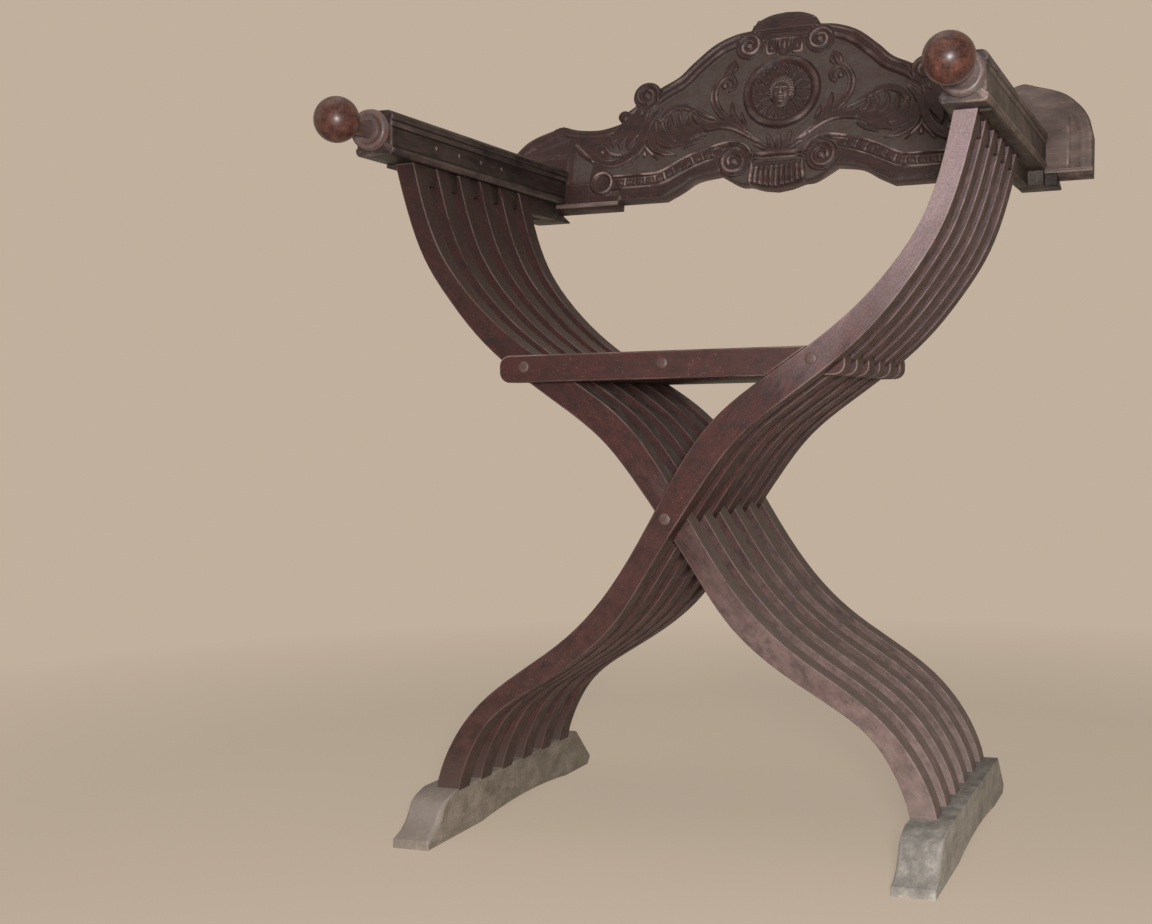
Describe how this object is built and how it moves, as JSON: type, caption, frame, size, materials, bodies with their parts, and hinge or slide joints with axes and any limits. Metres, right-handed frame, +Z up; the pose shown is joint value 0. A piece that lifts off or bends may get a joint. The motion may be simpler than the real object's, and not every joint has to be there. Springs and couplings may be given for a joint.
{
  "type": "savonarola chair",
  "caption": "Folding armchair of interleaved curved slats crossing on one rod, with slatted seat, moulded arms, long feet and carved crest rail.",
  "frame": {"origin": "on the floor, under the middle of the whole chair's bounding box", "axes": "+Z up, +Y from the finials towards the crest rail, +X towards the arm on the right of someone who faces the chair"},
  "size_m": [0.746, 0.6418, 0.9441],
  "materials": {
    "slat_wood": "old dark walnut, waxed, dusty in the gaps",
    "rail_wood": "old dark walnut, waxed",
    "arm_wood": "old dark walnut, waxed, worn edges",
    "crest_wood": "carved dark walnut, dusty in the recesses",
    "finial_wood": "turned red-brown wood, polished",
    "foot_wood": "bare weathered grey-green wood",
    "plain_wood": "plain sawn wood, dusty",
    "rod_wood": "end grain of turned dowels"
  },
  "bodies": {
    "right_frame": {"right_slat_1": "slat_wood", "right_slat_2": "slat_wood", "right_slat_3": "slat_wood", "right_slat_4": "slat_wood", "right_slat_5": "slat_wood", "right_slat_6": "slat_wood", "right_arm": "arm_wood", "right_cleat": "plain_wood", "right_finial": "finial_wood", "right_arm_plugs": "rod_wood", "left_foot": "foot_wood", "pivot_rod": "rod_wood", "right_seat_rod": "rod_wood"},
    "left_frame": {"left_slat_1": "slat_wood", "left_slat_2": "slat_wood", "left_slat_3": "slat_wood", "left_slat_4": "slat_wood", "left_slat_5": "slat_wood", "left_slat_6": "slat_wood", "left_arm": "arm_wood", "left_cleat": "plain_wood", "left_finial": "finial_wood", "left_arm_plugs": "rod_wood", "right_foot": "foot_wood", "left_seat_rod": "rod_wood"},
    "left_rails": {"left_rail_1": "rail_wood", "left_rail_2": "rail_wood", "left_rail_3": "rail_wood", "left_rail_4": "rail_wood", "left_rail_5": "rail_wood", "left_rail_6": "rail_wood", "middle_rod": "rod_wood"},
    "right_rails": {"right_rail_1": "rail_wood", "right_rail_2": "rail_wood", "right_rail_3": "rail_wood", "right_rail_4": "rail_wood", "right_rail_5": "rail_wood", "right_rail_6": "rail_wood"},
    "crest": {"crest_board": "crest_wood", "crest_ledge_right": "crest_wood", "crest_ledge_left": "crest_wood", "crest_foot_right": "plain_wood", "crest_foot_left": "plain_wood", "crest_peg_right": "plain_wood", "crest_peg_left": "plain_wood"}
  },
  "joints": [
    {"name": "frame_fold", "type": "hinge", "parent": "right_frame", "child": "left_frame", "pos_m": [0, -0.0302, 0.3335], "axis": [0, 1, 0], "range_deg": [0, 50]},
    {"name": "left_rails_fold", "type": "hinge", "parent": "left_frame", "child": "left_rails", "pos_m": [-0.15, -0.0302, 0.4885], "axis": [0, 1, 0], "range_deg": [-87.5, 0]},
    {"name": "right_rails_fold", "type": "hinge", "parent": "right_frame", "child": "right_rails", "pos_m": [0.15, -0.0302, 0.4885], "axis": [0, 1, 0], "range_deg": [0, 87.5]},
    {"name": "crest_slide", "type": "slide", "parent": "right_frame", "child": "crest", "axis": [0, 1, 0], "range_m": [0, 0.07]}
  ],
  "couplings": [
    {"joint": "left_rails_fold", "follows": "frame_fold", "ratio": -1.74},
    {"joint": "right_rails_fold", "follows": "frame_fold", "ratio": 1.74}
  ]
}
